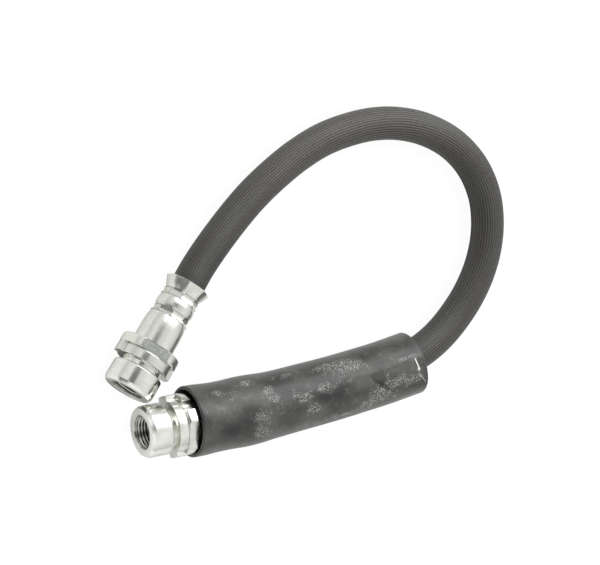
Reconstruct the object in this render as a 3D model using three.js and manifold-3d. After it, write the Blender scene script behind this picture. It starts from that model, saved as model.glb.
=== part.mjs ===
// A flexible hydraulic brake hose with two crimped steel end fittings and a loose rubber sleeve.
// Millimetres, +Z up. It lies on the plane z = 0, and the origin is the bottom middle of its rigid pieces.
import * as THREE from 'three';
import { mergeVertices } from 'three/addons/utils/BufferGeometryUtils.js';
import Module from 'manifold-3d';

const wasm = await Module();
wasm.setup();

// Gap between pieces that touch on the real hose
const CLEARANCE = 0.3;
const ROUND_SIDES = 36;

// Fitting, turned parts: stations are measured along its axis from the front face
const NOSE_RADIUS = 8.0;
const NOSE_LENGTH = 7.2;
const NOSE_CHAMFER_LENGTH = 1.2;
const NOSE_CHAMFER_DEPTH = 0.6;
const NOSE_REAR_CHAMFER = 0.5;
const NECK_RADIUS = 6.2;
const NECK_LENGTH = 1.7;
const KEY_RING_RADIUS = 8.4;
const KEY_RING_LENGTH = 3.2;
const KEY_WIDTH = 5.0;
const FLANGE_RADIUS = 9.5;
const FLANGE_LENGTH = 3.2;
const FLANGE_CHAMFER = 0.35;
const FLAT_REACH = 8.3;
const NOTCH_WIDTH = 3.2;
const NOTCH_DEPTH = 1.6;

// Threaded port: M10 x 1, drawn at its minor diameter
const PORT_RADIUS = 4.55;
const PORT_MOUTH_RADIUS = 5.4;
const PORT_DEPTH = 10.5;
const SEAT_LENGTH = 1.4;

// Crimped shell
const WEB_END = 17.0;
const SHELL_RADIUS = 6.5;
const SHELL_WALL = 0.95;
const DOME_START = 21.2;
const FIRST_GROOVE = 26.4;
const FIRST_GROOVE_RADIUS = 5.15;
const SECOND_GROOVE = 32.6;
const SECOND_GROOVE_RADIUS = 5.3;
const BULGE_RADIUS = 6.1;
const MOUTH = 37.5;
const MOUTH_RADIUS = 7.05;

// Insert tube that backs the crimp
const NIPPLE_RADIUS = 1.9;
const NIPPLE_BORE_RADIUS = 1.05;
const NIPPLE_START = 12.6;
const NIPPLE_END = 35.2;
const COLLAR_RADIUS = 3.4;
const COLLAR_LENGTH = 0.8;
const NIPPLE_SIDES = 20;
const CUTTER_SIDES = 24;

// Hose
const HOSE_RADIUS = 5.25;
const HOSE_BORE_RADIUS = 1.6;
const HOSE_SIDES = 12;
const HOSE_STEPS = 52;

// Sleeve: it is stretched behind the flange of fitting B, and lies on the ground along a slightly bent line
const SLEEVE_LENGTH = 80.6;
const SLEEVE_WALL = 1.2;
const SLEEVE_HEADING = -21.1;
const SLEEVE_BEND = 1.6;
const SLEEVE_SIDE_STEP = 0.35;
const SLEEVE_SIDES = 28;
// Station along the sleeve and outer radius there
const SLEEVE_OUTLINE = [
  [0, 11.0], [3.5, 10.95], [8.5, 10.6], [13.5, 10.55], [18.5, 10.75], [23.0, 10.6], [28.0, 10.2],
  [34.0, 10.05], [48.0, 10.0], [64.0, 10.0], [SLEEVE_LENGTH, 10.0],
];

// Each fitting: place of its front face's centre, heading of its axis, and turn of its milled features,
// in degrees about the axis from straight up towards +Y. Fitting A lies on its flange, and fitting B is held in
// the middle of the sleeve's mouth.
const FITTING_A = { front: [-41.2, 17.9], heading: 24, keys: 98, flats: 13, notch: -110, inSleeve: false };
const FITTING_B = { front: [-44.7, 5.0], heading: -24, keys: 98, flats: -21, notch: 43, inSleeve: true };

// Free stretch of the hose between the two mouths, chosen by hand: x, y and height of its centre line
const HOSE_ROUTE = [
  [-1.0, 35.45, 8.2], [6.9, 37.9, 7.1], [18.7, 41.0, 5.9], [28.8, 43.15, 5.37], [39.0, 44.45, 5.27],
  [48.2, 44.9, 5.27], [57.7, 44.3, 5.27], [66.9, 42.2, 5.27], [75.9, 38.8, 5.27], [83.9, 34.0, 5.27],
  [91.4, 27.0, 5.27], [97.2, 17.8, 5.27], [99.6, 7.8, 5.27], [98.6, -1.6, 5.27], [95.2, -9.25, 5.27],
  [90.25, -15.7, 5.27], [83.9, -21.1, 5.27], [75.95, -25.6, 5.27], [67.1, -28.7, 5.4], [59.6, -30.05, 5.9],
  [53.8, -30.25, 6.4], [49.4, -29.95, 6.75], [44.6, -29.2, 7.0], [34.0, -26.2, 7.2], [22.8, -22.3, 7.75],
  [11.1, -18.4, 8.5], [1.3, -15.2, 9.6],
];

const degrees = THREE.MathUtils.degToRad;

// Stations that follow from the lengths above
const NECK_START = NOSE_LENGTH;
const KEY_RING_START = NECK_START + NECK_LENGTH;
const FLANGE_START = KEY_RING_START + KEY_RING_LENGTH;
const FLANGE_END = FLANGE_START + FLANGE_LENGTH;
const SEAT_END = PORT_DEPTH + SEAT_LENGTH;
const COLLAR_START = WEB_END + CLEARANCE;
const COLLAR_END = COLLAR_START + COLLAR_LENGTH;
const HOSE_START = COLLAR_END + CLEARANCE;
const NIPPLE_HOLE_RADIUS = NIPPLE_RADIUS + CLEARANCE;

// Closed mesh to manifold solid: only the positions are kept, and shared vertices are merged
function toSolid(geometry) {
  const bare = geometry.clone();
  bare.deleteAttribute('normal');
  bare.deleteAttribute('uv');
  const merged = mergeVertices(bare, 1e-4);
  return new wasm.Manifold(new wasm.Mesh({
    numProp: 3,
    vertProperties: new Float32Array(merged.attributes.position.array),
    triVerts: new Uint32Array(merged.index.array),
  }));
}

// Manifold solid back to a three.js geometry
function toGeometry(solid) {
  const mesh = solid.getMesh();
  const geometry = new THREE.BufferGeometry();
  geometry.setAttribute('position', new THREE.BufferAttribute(new Float32Array(mesh.vertProperties), 3));
  geometry.setIndex(new THREE.BufferAttribute(new Uint32Array(mesh.triVerts), 1));
  geometry.computeVertexNormals();
  return geometry;
}

// Closed outline of [radius, station] pairs turned about the X axis, which is the axis of every round piece.
// The outline runs up the outside and back down the inside.
function turned(outline, sides) {
  const points = outline.map(([radius, station]) => new THREE.Vector2(radius, station));
  points.push(points[0].clone());
  return new THREE.LatheGeometry(points, sides).rotateZ(-Math.PI / 2);
}

// Box across the axis, from one distance to another along the direction at the given angle
function radialBox(angle, from, to, width, start, end) {
  return new THREE.BoxGeometry(end - start, width, to - from)
    .translate((start + end) / 2, 0, (from + to) / 2)
    .rotateX(-degrees(angle));
}

// Outer radius of the crimped shell: straight, a quarter-ellipse dome down to the first groove, a sine bulge
// between the grooves, and a flare out to the mouth
function shellRadius(station) {
  if (station <= DOME_START) return SHELL_RADIUS;
  if (station <= FIRST_GROOVE) {
    const along = (station - DOME_START) / (FIRST_GROOVE - DOME_START);
    return FIRST_GROOVE_RADIUS + (SHELL_RADIUS - FIRST_GROOVE_RADIUS) * Math.sqrt(1 - along * along);
  }
  if (station <= SECOND_GROOVE) {
    const along = (station - FIRST_GROOVE) / (SECOND_GROOVE - FIRST_GROOVE);
    const base = THREE.MathUtils.lerp(FIRST_GROOVE_RADIUS, SECOND_GROOVE_RADIUS, along);
    return base + (BULGE_RADIUS - base) * Math.sin(Math.PI * along);
  }
  const along = (station - SECOND_GROOVE) / (MOUTH - SECOND_GROOVE);
  return SECOND_GROOVE_RADIUS + (MOUTH_RADIUS - SECOND_GROOVE_RADIUS) * along ** 1.3;
}

// Stations at which the shell's curves are drawn: the ends of each stretch and points between them
function shellStations(first) {
  const share = (from, to, count) =>
    Array.from({ length: count }, (_, i) => from + ((to - from) * (i + 1)) / count);
  return [
    first,
    DOME_START,
    ...share(DOME_START, FIRST_GROOVE, 4),
    ...share(FIRST_GROOVE, SECOND_GROOVE, 4),
    ...share(SECOND_GROOVE, MOUTH, 2),
  ];
}

function fittingGeometry({ keys, flats, notch }) {
  const outside = [
    [NOSE_RADIUS - NOSE_CHAMFER_DEPTH, 0],
    [NOSE_RADIUS, NOSE_CHAMFER_LENGTH],
    [NOSE_RADIUS, NOSE_LENGTH - NOSE_REAR_CHAMFER],
    [NOSE_RADIUS - NOSE_REAR_CHAMFER, NOSE_LENGTH],
    [NECK_RADIUS, NECK_START],
    [NECK_RADIUS, KEY_RING_START],
    [KEY_RING_RADIUS, KEY_RING_START],
    [KEY_RING_RADIUS, FLANGE_START],
    [FLANGE_RADIUS - FLANGE_CHAMFER, FLANGE_START],
    [FLANGE_RADIUS, FLANGE_START + FLANGE_CHAMFER],
    [FLANGE_RADIUS, FLANGE_END - FLANGE_CHAMFER],
    [FLANGE_RADIUS - FLANGE_CHAMFER, FLANGE_END],
    ...shellStations(FLANGE_END).map((station) => [shellRadius(station), station]),
  ];
  const inside = [
    ...shellStations(WEB_END).reverse().map((station) => [shellRadius(station) - SHELL_WALL, station]),
    [NIPPLE_HOLE_RADIUS, WEB_END],
    [NIPPLE_HOLE_RADIUS, SEAT_END],
    [PORT_RADIUS, PORT_DEPTH],
    [PORT_RADIUS, PORT_MOUTH_RADIUS - PORT_RADIUS],
    [PORT_MOUTH_RADIUS, 0],
  ];
  let body = toSolid(turned([...outside, ...inside], ROUND_SIDES));

  // Two keys stand on the ring, one on each side, out to the flange's radius
  const keyEnvelope = toSolid(turned([
    [NECK_RADIUS + CLEARANCE, KEY_RING_START],
    [FLANGE_RADIUS, KEY_RING_START],
    [FLANGE_RADIUS, FLANGE_START + FLANGE_CHAMFER],
    [NECK_RADIUS + CLEARANCE, FLANGE_START + FLANGE_CHAMFER],
  ], ROUND_SIDES));
  const keyBar = toSolid(radialBox(
    keys, -FLANGE_RADIUS * 2, FLANGE_RADIUS * 2, KEY_WIDTH, KEY_RING_START, FLANGE_START + FLANGE_CHAMFER));
  body = body.add(keyBar.intersect(keyEnvelope));

  // Two milled flats, opposite each other, and one notch, all across the flange's full thickness
  for (const angle of [flats, flats + 180]) {
    body = body.subtract(toSolid(radialBox(
      angle, FLAT_REACH, FLANGE_RADIUS * 2, FLANGE_RADIUS * 4, FLANGE_START, FLANGE_END + 1)));
  }
  body = body.subtract(toSolid(radialBox(
    notch, FLANGE_RADIUS - NOTCH_DEPTH, FLANGE_RADIUS * 2, NOTCH_WIDTH, FLANGE_START, FLANGE_END + 1)));
  return toGeometry(body);
}

function nippleGeometry() {
  return turned([
    [NIPPLE_BORE_RADIUS, NIPPLE_START],
    [NIPPLE_RADIUS, NIPPLE_START],
    [NIPPLE_RADIUS, COLLAR_START],
    [COLLAR_RADIUS, COLLAR_START],
    [COLLAR_RADIUS, COLLAR_END],
    [NIPPLE_RADIUS, COLLAR_END],
    [NIPPLE_RADIUS, NIPPLE_END - NIPPLE_RADIUS],
    [NIPPLE_BORE_RADIUS + CLEARANCE, NIPPLE_END],
    [NIPPLE_BORE_RADIUS, NIPPLE_END],
  ], NIPPLE_SIDES);
}

// Height of a fitting's axis: in the middle of the sleeve's mouth, or lying on its flange, which touches the
// ground with its round or with the near edge of its lower flat
function axisHeight({ flats, inSleeve }) {
  if (inSleeve) return SLEEVE_OUTLINE[0][1];
  const halfFlat = Math.acos(FLAT_REACH / FLANGE_RADIUS);
  return FLANGE_RADIUS * Math.cos(Math.max(0, halfFlat - Math.abs(degrees(flats))));
}

// Point on a fitting's axis at a station
function axisPoint(fitting, station) {
  const heading = degrees(fitting.heading);
  return new THREE.Vector3(
    fitting.front[0] + station * Math.cos(heading),
    fitting.front[1] + station * Math.sin(heading),
    axisHeight(fitting));
}

// Puts a piece that is drawn along X at its fitting's place
function place(object, fitting) {
  object.position.copy(axisPoint(fitting, 0));
  object.rotation.z = degrees(fitting.heading);
  object.updateMatrix();
  return object;
}

// What the crimp and the insert take away from the hose's end, drawn along X
function crimpCutter() {
  const reach = SHELL_RADIUS + 1;
  const squeezed = shellStations(WEB_END).reverse()
    .map((station) => [shellRadius(station) - SHELL_WALL - CLEARANCE, station]);
  return toSolid(turned([[reach, WEB_END], [reach, MOUTH], ...squeezed], CUTTER_SIDES));
}

function insertCutter() {
  return toSolid(turned([
    [0, WEB_END],
    [NIPPLE_HOLE_RADIUS, WEB_END],
    [NIPPLE_HOLE_RADIUS, NIPPLE_END],
    [NIPPLE_BORE_RADIUS, NIPPLE_END + NIPPLE_RADIUS],
    [0, NIPPLE_END + NIPPLE_RADIUS],
  ], NIPPLE_SIDES));
}

function hosePath() {
  const points = [
    axisPoint(FITTING_A, HOSE_START),
    axisPoint(FITTING_A, (HOSE_START + MOUTH) / 2),
    axisPoint(FITTING_A, MOUTH),
    ...HOSE_ROUTE.map((point) => new THREE.Vector3(...point)),
    axisPoint(FITTING_B, MOUTH),
    axisPoint(FITTING_B, (HOSE_START + MOUTH) / 2),
    axisPoint(FITTING_B, HOSE_START),
  ];
  return new THREE.CatmullRomCurve3(points, false, 'centripetal');
}

// Regular polygon with the given corner radius
function polygon(radius, sides) {
  return Array.from({ length: sides }, (_, i) => {
    const angle = (2 * Math.PI * i) / sides;
    return new THREE.Vector2(radius * Math.cos(angle), radius * Math.sin(angle));
  });
}

function hoseGeometry() {
  const section = new THREE.Shape(polygon(HOSE_RADIUS, HOSE_SIDES));
  section.holes.push(new THREE.Path(polygon(HOSE_BORE_RADIUS, HOSE_SIDES)));
  let hose = toSolid(new THREE.ExtrudeGeometry(section, {
    steps: HOSE_STEPS, extrudePath: hosePath(), bevelEnabled: false,
  }));
  for (const fitting of [FITTING_A, FITTING_B]) {
    const { matrix } = place(new THREE.Object3D(), fitting);
    for (const cutter of [crimpCutter(), insertCutter()]) {
      hose = hose.subtract(cutter.transform(matrix.elements));
    }
  }
  return toGeometry(hose);
}

// Outer radius of the sleeve at a station, straight between the outline's points
function sleeveRadius(station) {
  const next = SLEEVE_OUTLINE.findIndex(([end]) => end >= station - 1e-6);
  if (next <= 0) return SLEEVE_OUTLINE[Math.max(next, 0)][1];
  const [[from, low], [to, high]] = [SLEEVE_OUTLINE[next - 1], SLEEVE_OUTLINE[next]];
  return THREE.MathUtils.mapLinear(station, from, to, low, high);
}

// Tube along X whose line bows sideways as a parabola and keeps the tube's underside on the ground
function sleeveGeometry() {
  const outside = SLEEVE_OUTLINE.map(([station, radius]) => [radius, station]);
  const inside = outside.map(([radius, station]) => [radius - SLEEVE_WALL, station]).reverse();
  const tube = turned([...outside, ...inside], SLEEVE_SIDES);
  const { position } = tube.attributes;
  for (let i = 0; i < position.count; i += 1) {
    const station = position.getX(i);
    const side = position.getY(i);
    const share = station / SLEEVE_LENGTH;
    const bow = -4 * SLEEVE_BEND * share * (1 - share);
    const slope = Math.atan((-4 * SLEEVE_BEND * (1 - 2 * share)) / SLEEVE_LENGTH);
    position.setXYZ(
      i,
      station - side * Math.sin(slope),
      bow + side * Math.cos(slope),
      position.getZ(i) + sleeveRadius(station));
  }
  return tube;
}

const zinc = () => new THREE.MeshStandardMaterial({ color: 0xc9cbc2, roughness: 0.3, metalness: 1.0 });
const steel = () => new THREE.MeshStandardMaterial({ color: 0xa9abad, roughness: 0.35, metalness: 1.0 });
const hoseRubber = () => new THREE.MeshStandardMaterial({ color: 0x4a4846, roughness: 0.75, metalness: 0.0 });
const sleeveRubber = () => new THREE.MeshStandardMaterial({ color: 0x3d3d3c, roughness: 0.6, metalness: 0.0 });

function piece(name, geometry, material) {
  const mesh = new THREE.Mesh(geometry, material);
  mesh.name = name;
  return mesh;
}

const brakeHose = new THREE.Group();

for (const [letter, fitting] of [['a', FITTING_A], ['b', FITTING_B]]) {
  brakeHose.add(place(piece(`end_fitting_${letter}`, fittingGeometry(fitting), zinc()), fitting));
  brakeHose.add(place(piece(`nipple_${letter}`, nippleGeometry(), steel()), fitting));
}

brakeHose.add(piece('hose', hoseGeometry(), hoseRubber()));

// The sleeve starts just behind the flange of fitting B
const sleeve = piece('protective_sleeve', sleeveGeometry(), sleeveRubber());
const sleeveHeading = degrees(SLEEVE_HEADING);
sleeve.position.copy(axisPoint(FITTING_B, FLANGE_END + CLEARANCE));
sleeve.position.x -= SLEEVE_SIDE_STEP * Math.sin(sleeveHeading);
sleeve.position.y += SLEEVE_SIDE_STEP * Math.cos(sleeveHeading);
sleeve.position.z = 0;
sleeve.rotation.z = sleeveHeading;
brakeHose.add(sleeve);

export default brakeHose;
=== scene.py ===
"""Looks of a flexible hydraulic brake hose with two crimped end fittings and a loose rubber sleeve.

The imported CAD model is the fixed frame. The visible hose, sleeve and end fittings are worked out here as
numpy surfaces in the same frame, and stand for their plain CAD solids. Lengths inside the classes are in
millimetres and are turned into metres when a mesh is made.
"""

from __future__ import annotations

import logging
import math
from dataclasses import dataclass
from enum import Enum
from typing import Union

import bpy
import numpy as np
from mathutils import Matrix, Vector

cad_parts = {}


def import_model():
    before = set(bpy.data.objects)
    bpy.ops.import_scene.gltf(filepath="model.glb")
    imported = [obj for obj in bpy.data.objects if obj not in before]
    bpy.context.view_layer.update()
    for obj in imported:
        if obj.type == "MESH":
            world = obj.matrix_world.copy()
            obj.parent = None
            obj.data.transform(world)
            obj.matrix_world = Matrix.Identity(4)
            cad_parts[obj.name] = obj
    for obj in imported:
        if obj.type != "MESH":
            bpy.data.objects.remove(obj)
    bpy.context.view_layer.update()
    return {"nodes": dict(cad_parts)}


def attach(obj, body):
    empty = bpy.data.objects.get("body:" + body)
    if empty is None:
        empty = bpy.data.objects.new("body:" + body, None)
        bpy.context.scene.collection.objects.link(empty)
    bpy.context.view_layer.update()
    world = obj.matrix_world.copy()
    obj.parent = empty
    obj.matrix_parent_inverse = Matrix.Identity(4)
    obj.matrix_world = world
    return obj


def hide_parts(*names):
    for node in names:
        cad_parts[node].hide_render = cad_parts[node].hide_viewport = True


LOG = logging.getLogger("brake_hose")
MM = 0.001
TURN = 2.0 * math.pi
Array = np.ndarray
Socket = bpy.types.NodeSocket
Colour = tuple[float, float, float]
Value = Union[Socket, float, Colour]
Patch = tuple[float, float, float, float, float]


class Slot(Enum):
    """Names of material slots."""

    ZINC = "zinc_plated_steel"
    INSERT = "insert_steel"
    HOSE = "hose_rubber"
    SLEEVE = "sleeve_rubber"


class Zone(Enum):
    """Stretches of a fitting's profile that are shaped round the axis in their own way."""

    ROUND = 0
    FLANGE = 1
    SHELL = 2
    PORT = 3


# Mesh making


@dataclass
class Surface:
    """A closed ring-shaped surface: rows run along a closed profile, and columns run round the axis."""

    points: Array
    around: Array
    along: Array

    def faces(self) -> Array:
        """Works out the quads: each joins a row and a column with the next ones, both round.

        Returns:
            Vertex numbers, one row of four for each face, facing outwards.
        """
        rows, columns = self.points.shape[:2]
        row = np.arange(rows)[:, None]
        column = np.arange(columns)[None, :]
        next_row = (row + 1) % rows
        next_column = (column + 1) % columns
        corners = (
            row * columns + column,
            next_row * columns + column,
            next_row * columns + next_column,
            row * columns + next_column,
        )
        return np.stack([np.broadcast_to(c, (rows, columns)) for c in corners], axis=-1).reshape(-1, 4)

    def corner_uv(self) -> Array:
        """Works out the UV of each face's corner: u is the place round the axis and v along the profile.

        Returns:
            Pairs of metres, four for each face in the order of faces().
        """
        step = self.around[-1] - self.around[-2]
        u = np.append(self.around, self.around[-1] + step)
        v = np.append(self.along, self.along[-1] + 1.0)
        rows, columns = self.points.shape[:2]
        u0 = np.broadcast_to(u[None, :-1], (rows, columns))
        u1 = np.broadcast_to(u[None, 1:], (rows, columns))
        v0 = np.broadcast_to(v[:-1, None], (rows, columns))
        v1 = np.broadcast_to(v[1:, None], (rows, columns))
        pairs = (np.stack(p, axis=-1) for p in ((u0, v0), (u0, v1), (u1, v1), (u1, v0)))
        return (np.stack(list(pairs), axis=2) * MM).reshape(-1, 2)

    def build(self, name: str, sharp_degrees: float, marks: dict[str, Array]) -> bpy.types.Object:
        """Makes the mesh object, smooth but for edges sharper than an angle.

        Args:
            name: The piece's name.
            sharp_degrees: Angle between faces from which their edge is drawn sharp.
            marks: Point attributes by name, one number for each point of the grid.

        Returns:
            The new object, at the origin, linked into the scene.
        """
        mesh = bpy.data.meshes.new(name)
        mesh.from_pydata((self.points.reshape(-1, 3) * MM).tolist(), [], self.faces().tolist())
        layer = mesh.uv_layers.new(name="UVMap")
        layer.data.foreach_set("uv", self.corner_uv().astype(np.float32).ravel())
        for label, values in marks.items():
            attribute = mesh.attributes.new(label, "FLOAT", "POINT")
            attribute.data.foreach_set("value", values.astype(np.float32).ravel())
        mesh.polygons.foreach_set("use_smooth", np.ones(len(mesh.polygons), dtype=bool))
        mesh.set_sharp_from_angle(angle=math.radians(sharp_degrees))
        mesh.update()
        piece = bpy.data.objects.new(name, mesh)
        bpy.context.scene.collection.objects.link(piece)
        return piece


def smoothstep(value: Array, low: float, high: float) -> Array:
    """Rises from 0 at low to 1 at high as 3t² − 2t³."""
    t = np.clip((value - low) / (high - low), 0.0, 1.0)
    return t * t * (3.0 - 2.0 * t)


def angle_between(a: Array, b: float | Array) -> Array:
    """Smallest angle from b to a in degrees, between −180 and 180."""
    return (a - b + 180.0) % 360.0 - 180.0


def from_nearer(angle: Array, middle: float) -> Array:
    """Distance in degrees to the nearer of two opposite features, one of which is at the middle."""
    return np.abs((angle - middle + 90.0) % 180.0 - 90.0)


def band(value: Array, rise: tuple[float, float], fall: tuple[float, float]) -> Array:
    """Smooth step up over the rise, times one minus the smooth step over the fall."""
    return smoothstep(value, *rise) * (1.0 - smoothstep(value, *fall))


def rounded(corners: Array, radius: float, steps: int = 4) -> Array:
    """Rounds each inner corner of an open line with a quadratic Bezier curve.

    The curve leaves the side before the corner and joins the side after it at the same distance, which is the
    radius or just under half of the shorter side.

    Args:
        corners: The line's points. The first two or three numbers of each are its place.
        radius: Distance from the corner at which the curve starts, in millimetres.
        steps: Points on each curve.

    Returns:
        The rounded line, with the first and last points kept.
    """
    before, corner, after = corners[:-2], corners[1:-1], corners[2:]
    length_in = np.linalg.norm((corner - before)[:, :3], axis=1)[:, None]
    length_out = np.linalg.norm((after - corner)[:, :3], axis=1)[:, None]
    cut = np.minimum(radius, 0.49 * np.minimum(length_in, length_out))
    start = corner + (before - corner) * cut / length_in
    end = corner + (after - corner) * cut / length_out
    t = np.linspace(0.0, 1.0, steps)[None, :, None]
    curve = (1 - t) ** 2 * start[:, None] + 2 * t * (1 - t) * corner[:, None] + t**2 * end[:, None]
    return np.vstack([corners[:1], curve.reshape(-1, corners.shape[1]), corners[-1:]])


# Materials


class Nodes:
    """A tree of nodes, written line by line."""

    def __init__(self, tree: bpy.types.NodeTree) -> None:
        """Takes a tree and empties it."""
        self.tree = tree
        self.tree.nodes.clear()

    def add(self, kind: str, **settings: object) -> bpy.types.Node:
        """Adds a node.

        Args:
            kind: The node's type.
            settings: Its own properties by name.

        Returns:
            The node.
        """
        node = self.tree.nodes.new(kind)
        for key, value in settings.items():
            setattr(node, key, value)
        return node

    def feed(self, value: Value, target: Socket) -> None:
        """Gives an input its value.

        Args:
            value: An output to link, a number or a colour.
            target: The input.
        """
        if isinstance(value, tuple):
            target.default_value = (*value, 1.0)
        elif isinstance(value, (int, float)):
            target.default_value = value
        else:
            self.tree.links.new(value, target)

    def maths(self, operation: str, *values: Value, clamp: bool = True) -> Socket:
        """Puts numbers through one operation.

        Args:
            operation: The operation's name.
            values: The numbers in order.
            clamp: Whether the answer is held between 0 and 1.

        Returns:
            The answer.
        """
        node = self.add("ShaderNodeMath", operation=operation, use_clamp=clamp)
        for value, target in zip(values, node.inputs):
            self.feed(value, target)
        return node.outputs["Value"]

    def spread(self, value: Value, low: float, high: float, to_low: float, to_high: float) -> Socket:
        """Maps a range of numbers onto another one, and holds it at both ends.

        Args:
            value: The number.
            low: Start of the range.
            high: End of the range.
            to_low: What the start becomes.
            to_high: What the end becomes.

        Returns:
            The mapped number.
        """
        node = self.add("ShaderNodeMapRange")
        labels = ("Value", "From Min", "From Max", "To Min", "To Max")
        for label, number in zip(labels, (value, low, high, to_low, to_high)):
            self.feed(number, node.inputs[label])
        return node.outputs["Result"]

    def blend(self, share: Value, first: Value, second: Value) -> Socket:
        """Mixes two colours.

        Args:
            share: How much of the second colour shows.
            first: The colour at 0.
            second: The colour at 1.

        Returns:
            The mixed colour.
        """
        node = self.add("ShaderNodeMix", data_type="RGBA")
        factor, colour_a, colour_b = node.inputs[0], node.inputs[6], node.inputs[7]
        self.feed(share, factor)
        self.feed(first, colour_a)
        self.feed(second, colour_b)
        return node.outputs[2]

    def layer(self, share: Value, first: Socket, second: Socket) -> Socket:
        """Mixes two shaders.

        Args:
            share: How much of the second shader shows.
            first: The shader at 0.
            second: The shader at 1.

        Returns:
            The mixed shader.
        """
        node = self.add("ShaderNodeMixShader")
        for value, target in zip((share, first, second), node.inputs):
            self.feed(value, target)
        return node.outputs["Shader"]


class NodeSheet(Nodes):
    """A material's nodes round one Principled shader."""

    def __init__(self, name: str) -> None:
        """Starts a material with its shader joined to its output.

        Args:
            name: The material's name.
        """
        self.material = bpy.data.materials.new(name)
        self.material.use_nodes = True
        super().__init__(self.material.node_tree)
        output = self.add("ShaderNodeOutputMaterial")
        self.shader = self.add("ShaderNodeBsdfPrincipled")
        self.feed(self.shader.outputs["BSDF"], output.inputs["Surface"])

    def shade(self, values: dict[str, Value]) -> None:
        """Gives the shader's inputs their values by name."""
        for label, value in values.items():
            self.feed(value, self.shader.inputs[label])

    def object_place(self) -> Socket:
        """Gives the place on the piece in metres."""
        return self.add("ShaderNodeTexCoord").outputs["Object"]

    def surface_place(self, scale: tuple[float, float]) -> Socket:
        """Gives the piece's own UV place, stretched.

        Args:
            scale: Factors for u, round the piece, and v, along it.

        Returns:
            The stretched place.
        """
        mapping = self.add("ShaderNodeMapping")
        mapping.inputs["Scale"].default_value = (scale[0], scale[1], 1.0)
        self.feed(self.add("ShaderNodeUVMap", uv_map="UVMap").outputs["UV"], mapping.inputs["Vector"])
        return mapping.outputs["Vector"]

    def mark(self, label: str) -> Socket:
        """Gives a point attribute of the piece."""
        return self.add("ShaderNodeAttribute", attribute_name=label).outputs["Fac"]

    def noise(self, place: Socket, scale: float, detail: float, rough: float = 0.5) -> Socket:
        """Adds fractal noise.

        Args:
            place: Where the noise is read.
            scale: Waves for each metre or unit of the place.
            detail: Number of finer octaves.
            rough: Share of each finer octave.

        Returns:
            A number around one half.
        """
        node = self.add("ShaderNodeTexNoise")
        values = {"Vector": place, "Scale": scale, "Detail": detail, "Roughness": rough}
        for label, value in values.items():
            self.feed(value, node.inputs[label])
        return node.outputs["Fac"]

    def relief(self, heights: list[tuple[Socket, float, float]]) -> None:
        """Stacks bumps on the shader's normal.

        Args:
            heights: For each layer its height between 0 and 1, its strength, and its real depth in metres.
        """
        normal = None
        for height, strength, depth in heights:
            bump = self.add("ShaderNodeBump")
            for label, value in (("Strength", strength), ("Distance", depth), ("Height", height)):
                self.feed(value, bump.inputs[label])
            if normal is not None:
                self.feed(normal, bump.inputs["Normal"])
            normal = bump.outputs["Normal"]
        self.shade({"Normal": normal})


@dataclass(frozen=True)
class ZincPlate:
    """Bright zinc plate over turned steel, with cloudy patches, turning marks and fine pits."""

    name: str = "zinc_plate"
    bright: Colour = (0.84, 0.855, 0.815)
    cloudy: Colour = (0.76, 0.775, 0.72)
    dull: Colour = (0.26, 0.27, 0.255)
    # Colour of the painted shade in the ports and along the crimp's and flats' edges
    painted_shade: Colour = (0.10, 0.09, 0.075)
    fleck: Colour = (0.70, 0.71, 0.68)
    # Paler colour of freshly faced metal, partly a painted highlight
    faced_highlight: Colour = (0.97, 0.97, 0.94)
    smooth: float = 0.14
    rough: float = 0.27
    rough_where_rubbed: float = 0.18
    rough_where_satin: float = 0.035
    cloud_scale: float = 260.0
    wave_scale: float = 420.0
    pit_scale: float = 2300.0
    turning: tuple[float, float] = (40.0, 4200.0)

    def dress(self) -> bpy.types.Material:
        """Builds the plate: clouds, then the turned faces painted paler as a highlight, milled flats, painted
        shade in the ports and along the crimp's and flats' edges, and bright specks.

        Returns:
            The material.
        """
        sheet = NodeSheet(self.name)
        place = sheet.object_place()
        cloud = sheet.noise(place, self.cloud_scale, 4.0, 0.6)
        pits = sheet.noise(place, self.pit_scale, 3.0, 0.65)
        rubbed = sheet.mark("rubbed")
        sparkle = sheet.maths("MULTIPLY", sheet.spread(pits, 0.52, 0.60, 0.0, 0.6), rubbed)
        plate = sheet.blend(sheet.spread(cloud, 0.38, 0.62, 0.0, 1.0), self.bright, self.cloudy)
        highlit = sheet.blend(sheet.mark("faced_highlight"), plate, self.faced_highlight)
        greyed = sheet.blend(sheet.maths("MULTIPLY", rubbed, 0.85), highlit, self.dull)
        # The bore mark is painted shade: deeper in the port and in its thread's roots, along the crimp's
        # edges and corners, and along each flat's rear edge
        shade_painted = sheet.blend(sheet.mark("bore"), greyed, self.painted_shade)
        clouded = sheet.spread(cloud, 0.35, 0.65, self.smooth, self.rough)
        worn = sheet.maths("MULTIPLY_ADD", rubbed, self.rough_where_rubbed, clouded)
        satin = sheet.maths("MULTIPLY", sheet.mark("satin"), self.rough_where_satin)
        sheet.shade({
            "Metallic": 1.0,
            "Base Color": sheet.blend(sparkle, shade_painted, self.fleck),
            "Roughness": sheet.maths("ADD", worn, satin),
        })
        lathe = sheet.noise(sheet.surface_place(self.turning), 1.0, 3.0, 0.6)
        wavy = sheet.noise(place, self.wave_scale, 2.0)
        sheet.relief([(wavy, 0.16, 0.00010), (lathe, 0.14, 0.00003), (pits, 0.20, 0.00003)])
        return sheet.material


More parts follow.
